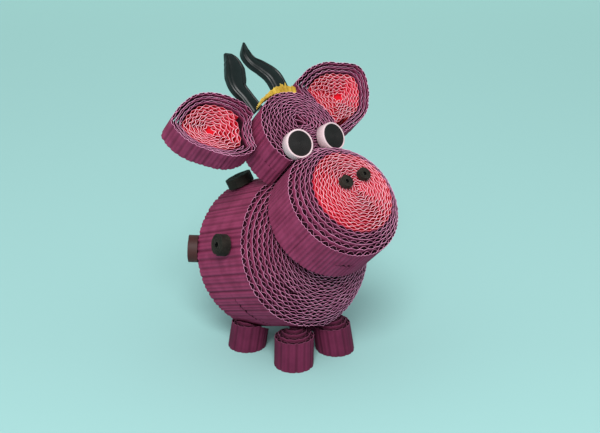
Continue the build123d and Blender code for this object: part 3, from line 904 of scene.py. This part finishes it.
def rear_dome_plane(reach, angle):
    """A plane on the rear dome, looking outwards."""
    turned = math.radians(angle)
    share = reach / body_radius
    rise = body_rise * (1 - share ** body_power)
    slope = body_rise * body_power / body_radius * share ** (body_power - 1)
    outward = (slope * math.cos(turned), slope * math.sin(turned), -1)
    right, up = reach * math.cos(turned), reach * math.sin(turned)
    across = (-math.sin(turned), math.cos(turned), 0)
    return body_seam.looking(right, up, -body_strip - rise, outward, across)


spot_layer = 0.5
rear_plane = rear_dome_plane(body_radius - rear_spot_inside, rear_spot_angle)
for name, plane, radius, paper_kind in (
    ("spot_side", wall_plane(side_spot_along, side_spot_angle), side_spot_radius, black),
    ("spot_top", wall_plane(top_spot_along, top_spot_angle), top_spot_radius, black),
    ("spot_rear", rear_plane, rear_spot_radius, brown),
):
    mesh = Mesh()
    rolled(mesh, plane, radius, spot_layer, spot_hole, low=-spot_sink, high=spot_thickness,
           seed=97 + len(name))
    mesh.piece(name + "_roll", paper_kind, [name])

# Floor and backdrop in one flat sheet, with painted light: paler further back, where the lamps
# reach less. Its sizes are in metres.
floor_half = 6.0
fade_length = 0.9
near_colour, far_colour = srgb(160, 206, 203), srgb(186, 242, 235)
floor_material = bpy.data.materials.new("floor")
floor_material.use_nodes = True
nodes, links = floor_material.node_tree.nodes, floor_material.node_tree.links
floor_shader = nodes["Principled BSDF"]
turned, raised = math.radians(azimuth), math.radians(elevation)
view_axes = nodes.new("ShaderNodeMapping")
view_axes.inputs["Rotation"].default_value = (0, 0, -turned)
links.new(nodes.new("ShaderNodeTexCoord").outputs["Object"], view_axes.inputs["Vector"])
split = nodes.new("ShaderNodeSeparateXYZ")
links.new(view_axes.outputs["Vector"], split.inputs["Vector"])
share = ramp(nodes, links, split.outputs["Y"], low=0.0, high=fade_length)
floor_colour = mix(nodes, links, share, near_colour, far_colour)
links.new(floor_colour, floor_shader.inputs["Base Color"])
floor_shader.inputs["Roughness"].default_value = 0.95
floor_shader.inputs["Specular IOR Level"].default_value = 0.1
floor_mesh = bpy.data.meshes.new("floor")
floor_corners = [(x * floor_half, y * floor_half, 0) for x, y in ((-1, -1), (1, -1), (1, 1), (-1, 1))]
floor_mesh.from_pydata(floor_corners, [], [(0, 1, 2, 3)])
floor_mesh.materials.append(floor_material)
floor = bpy.data.objects.new("floor", floor_mesh)
bpy.context.scene.collection.objects.link(floor)

# Light: the backdrop's own colour shows above the floor's end, and in what is glossy
world = bpy.data.worlds.new("studio")
bpy.context.scene.world = world
world.use_nodes = True
nodes, links = world.node_tree.nodes, world.node_tree.links
background = nodes["Background"]
background.inputs["Color"].default_value = (0.95, 0.98, 1.0, 1.0)
background.inputs["Strength"].default_value = 0.62
backdrop = nodes.new("ShaderNodeBackground")
backdrop.inputs["Color"].default_value = srgb(160, 208, 203)
rays = nodes.new("ShaderNodeLightPath")
shown = nodes.new("ShaderNodeMath")
shown.operation = "MAXIMUM"
links.new(rays.outputs["Is Camera Ray"], shown.inputs[0])
links.new(rays.outputs["Is Glossy Ray"], shown.inputs[1])
either = nodes.new("ShaderNodeMixShader")
links.new(shown.outputs["Value"], either.inputs[0])
links.new(background.outputs["Background"], either.inputs[1])
links.new(backdrop.outputs["Background"], either.inputs[2])
links.new(either.outputs["Shader"], nodes["World Output"].inputs["Surface"])


def aim_angles(way):
    """Turns for an object that looks along its own -Z, with Z up in the scene."""
    way = np.array(way) / np.linalg.norm(way)
    return (math.acos(-way[2]), 0.0, math.atan2(way[0], -way[1]) + math.pi)


def lamp(name, place, target, size, power):
    """A round soft lamp, in metres and watts."""
    light = bpy.data.lights.new(name, "AREA")
    light.shape = "DISK"
    light.size = size
    light.energy = power
    obj = bpy.data.objects.new(name, light)
    bpy.context.scene.collection.objects.link(obj)
    obj.location = place
    obj.rotation_euler = aim_angles(np.array(target) - np.array(place))


lit_point = (0, 0, 0.05)
lamp("key", (-0.45, -0.55, 0.75), lit_point, size=0.4, power=8.0)
lamp("fill", (-0.62, -0.68, 0.22), lit_point, size=1.0, power=2.3)

# Camera
view_right = np.array((math.cos(turned), math.sin(turned), 0))
level_part, rise_part = math.cos(raised), math.sin(raised)
view_back = np.array((math.sin(turned) * level_part, -math.cos(turned) * level_part, rise_part))
view_up = np.cross(view_back, view_right)
aim = body_seam.origin + scale_mm * (aim_right * view_right + aim_up * view_up)
camera_data = bpy.data.cameras.new("camera")
camera_data.angle_x = 2 * math.atan(photo_width / 2 / focal_px)
camera = bpy.data.objects.new("camera", camera_data)
camera.location = (aim + focal_px * scale_mm * view_back) * MM
camera.rotation_euler = aim_angles(-view_back)
bpy.context.scene.collection.objects.link(camera)
bpy.context.scene.camera = camera
bpy.context.scene.view_settings.view_transform = "Standard"
